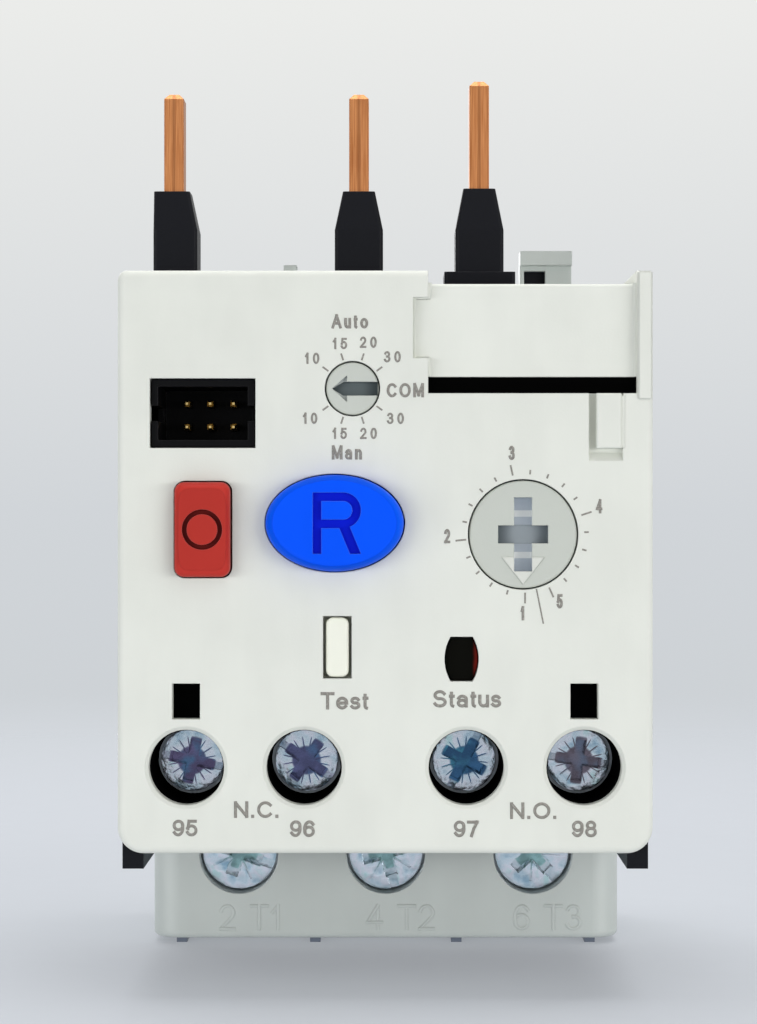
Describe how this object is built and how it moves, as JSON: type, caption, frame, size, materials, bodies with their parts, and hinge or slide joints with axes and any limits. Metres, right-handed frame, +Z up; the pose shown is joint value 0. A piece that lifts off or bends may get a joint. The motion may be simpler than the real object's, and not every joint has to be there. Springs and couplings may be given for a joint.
{
  "type": "overload relay",
  "caption": "Solid-state motor overload relay that plugs under a contactor, with setting dials, reset, stop and test buttons, screw terminals and a trip contact set.",
  "frame": {"origin": "middle of the body's width, in the plane of the three contactor stabs, at the top of the housing", "axes": "+Z up along the stabs, the operating face looks along -Y, +X to the right seen from the front"},
  "size_m": [0.045, 0.061, 0.0809],
  "materials": {
    "cover_plastic": "fine moulded texture",
    "black_plastic": "satin moulded",
    "base_plastic": "satin moulded",
    "reset_plastic": "satin gloss",
    "stop_plastic": "satin gloss",
    "test_plastic": "satin moulded",
    "dial_plastic": "satin moulded",
    "lens_plastic": "smoked red, polished",
    "spring_steel": "drawn wire",
    "pin_gold": "gold flash",
    "board_laminate": "solder mask",
    "chip_epoxy": "moulded epoxy",
    "magnet_iron": "laminated",
    "coil_copper": "enamelled wire",
    "stab_copper": "drawn copper",
    "contact_brass": "stamped",
    "zinc_steel": "bright zinc"
  },
  "bodies": {
    "housing": {"front_cover": "cover_plastic", "option_cover": "cover_plastic", "terminal_block": "black_plastic", "mid_housing": "black_plastic", "stab_sleeve_1": "black_plastic", "stab_sleeve_2": "black_plastic", "stab_sleeve_3": "black_plastic", "header_shroud": "black_plastic", "mode_switch": "black_plastic", "current_trimmer": "black_plastic", "terminal_base": "base_plastic", "back_plate": "base_plastic", "status_lens": "lens_plastic", "reset_spring": "spring_steel", "stop_spring": "spring_steel", "test_spring": "spring_steel", "header_pins": "pin_gold", "control_board": "board_laminate", "board_chips": "chip_epoxy", "solenoid_yoke": "magnet_iron", "ct_core_1": "magnet_iron", "ct_core_2": "magnet_iron", "ct_core_3": "magnet_iron", "solenoid_coil": "coil_copper", "ct_coil_1": "coil_copper", "ct_coil_2": "coil_copper", "ct_coil_3": "coil_copper", "line_stab_1": "stab_copper", "line_stab_2": "stab_copper", "line_stab_3": "stab_copper", "load_bar_1": "stab_copper", "load_bar_2": "stab_copper", "load_bar_3": "stab_copper", "contact_strip_95": "contact_brass", "contact_strip_96": "contact_brass", "contact_strip_97": "contact_brass", "contact_strip_98": "contact_brass"},
    "reset": {"reset_button": "reset_plastic"},
    "stop": {"stop_button": "stop_plastic"},
    "test": {"test_plunger": "test_plastic"},
    "mode": {"mode_dial": "dial_plastic"},
    "current": {"current_dial": "dial_plastic"},
    "trip_carriage": {"solenoid_plunger": "magnet_iron", "contact_carrier": "black_plastic", "nc_bridge": "contact_brass", "no_bridge": "contact_brass"},
    "control_95_clamp": {"control_clamp_95": "zinc_steel"},
    "control_95_screw": {"control_screw_95": "zinc_steel"},
    "control_96_clamp": {"control_clamp_96": "zinc_steel"},
    "control_96_screw": {"control_screw_96": "zinc_steel"},
    "control_97_clamp": {"control_clamp_97": "zinc_steel"},
    "control_97_screw": {"control_screw_97": "zinc_steel"},
    "control_98_clamp": {"control_clamp_98": "zinc_steel"},
    "control_98_screw": {"control_screw_98": "zinc_steel"},
    "load_1_clamp": {"load_clamp_1": "zinc_steel"},
    "load_1_screw": {"load_screw_1": "zinc_steel"},
    "load_2_clamp": {"load_clamp_2": "zinc_steel"},
    "load_2_screw": {"load_screw_2": "zinc_steel"},
    "load_3_clamp": {"load_clamp_3": "zinc_steel"},
    "load_3_screw": {"load_screw_3": "zinc_steel"}
  },
  "joints": [
    {"name": "reset_press", "type": "slide", "parent": "housing", "child": "reset", "axis": [0, 1, 0], "range_m": [0, 0.002], "stiffness_N_per_m": 800, "springref_m": -0.002, "deforming": ["reset_spring"]},
    {"name": "stop_press", "type": "slide", "parent": "housing", "child": "stop", "axis": [0, 1, 0], "range_m": [0, 0.0015], "stiffness_N_per_m": 800, "springref_m": -0.002, "deforming": ["stop_spring"]},
    {"name": "test_press", "type": "slide", "parent": "housing", "child": "test", "axis": [0, 1, 0], "range_m": [0, 0.0015], "stiffness_N_per_m": 500, "springref_m": -0.002, "deforming": ["test_spring"]},
    {"name": "mode_turn", "type": "hinge", "parent": "housing", "child": "mode", "pos_m": [-0.00275, -0.027, -0.00994], "axis": [0, 1, 0], "continuous": true},
    {"name": "current_turn", "type": "hinge", "parent": "housing", "child": "current", "pos_m": [0.01158, -0.027, -0.02218], "axis": [0, 1, 0], "range_deg": [0, 336]},
    {"name": "trip_slide", "type": "slide", "parent": "housing", "child": "trip_carriage", "axis": [0, 0, 1], "range_m": [0, 0.00115]},
    {"name": "control_95_clamp_slide", "type": "slide", "parent": "housing", "child": "control_95_clamp", "axis": [0, 1, 0], "range_m": [0, 0.003]},
    {"name": "control_95_screw_turn", "type": "hinge", "parent": "control_95_clamp", "child": "control_95_screw", "pos_m": [-0.01672, -0.019, -0.04177], "axis": [0, 1, 0], "range_deg": [0, 2160.5]},
    {"name": "control_96_clamp_slide", "type": "slide", "parent": "housing", "child": "control_96_clamp", "axis": [0, 1, 0], "range_m": [0, 0.003]},
    {"name": "control_96_screw_turn", "type": "hinge", "parent": "control_96_clamp", "child": "control_96_screw", "pos_m": [-0.00682, -0.019, -0.04177], "axis": [0, 1, 0], "range_deg": [0, 2160.5]},
    {"name": "control_97_clamp_slide", "type": "slide", "parent": "housing", "child": "control_97_clamp", "axis": [0, 1, 0], "range_m": [0, 0.003]},
    {"name": "control_97_screw_turn", "type": "hinge", "parent": "control_97_clamp", "child": "control_97_screw", "pos_m": [0.00682, -0.019, -0.04177], "axis": [0, 1, 0], "range_deg": [0, 2160.5]},
    {"name": "control_98_clamp_slide", "type": "slide", "parent": "housing", "child": "control_98_clamp", "axis": [0, 1, 0], "range_m": [0, 0.003]},
    {"name": "control_98_screw_turn", "type": "hinge", "parent": "control_98_clamp", "child": "control_98_screw", "pos_m": [0.01672, -0.019, -0.04177], "axis": [0, 1, 0], "range_deg": [0, 2160.5]},
    {"name": "load_1_clamp_slide", "type": "slide", "parent": "housing", "child": "load_1_clamp", "axis": [0, 1, 0], "range_m": [0, 0.0034]},
    {"name": "load_1_screw_turn", "type": "hinge", "parent": "load_1_clamp", "child": "load_1_screw", "pos_m": [-0.014, 0.0095, -0.0529], "axis": [0, 1, 0], "range_deg": [0, 1749.07]},
    {"name": "load_2_clamp_slide", "type": "slide", "parent": "housing", "child": "load_2_clamp", "axis": [0, 1, 0], "range_m": [0, 0.0034]},
    {"name": "load_2_screw_turn", "type": "hinge", "parent": "load_2_clamp", "child": "load_2_screw", "pos_m": [0, 0.0095, -0.0529], "axis": [0, 1, 0], "range_deg": [0, 1749.07]},
    {"name": "load_3_clamp_slide", "type": "slide", "parent": "housing", "child": "load_3_clamp", "axis": [0, 1, 0], "range_m": [0, 0.0034]},
    {"name": "load_3_screw_turn", "type": "hinge", "parent": "load_3_clamp", "child": "load_3_screw", "pos_m": [0.014, 0.0095, -0.0529], "axis": [0, 1, 0], "range_deg": [0, 1749.07]}
  ],
  "couplings": [
    {"joint": "control_95_screw_turn", "follows": "control_95_clamp_slide", "rad_per_m": 12566},
    {"joint": "control_96_screw_turn", "follows": "control_96_clamp_slide", "rad_per_m": 12566},
    {"joint": "control_97_screw_turn", "follows": "control_97_clamp_slide", "rad_per_m": 12566},
    {"joint": "control_98_screw_turn", "follows": "control_98_clamp_slide", "rad_per_m": 12566},
    {"joint": "load_1_screw_turn", "follows": "load_1_clamp_slide", "rad_per_m": 8976},
    {"joint": "load_2_screw_turn", "follows": "load_2_clamp_slide", "rad_per_m": 8976},
    {"joint": "load_3_screw_turn", "follows": "load_3_clamp_slide", "rad_per_m": 8976}
  ]
}
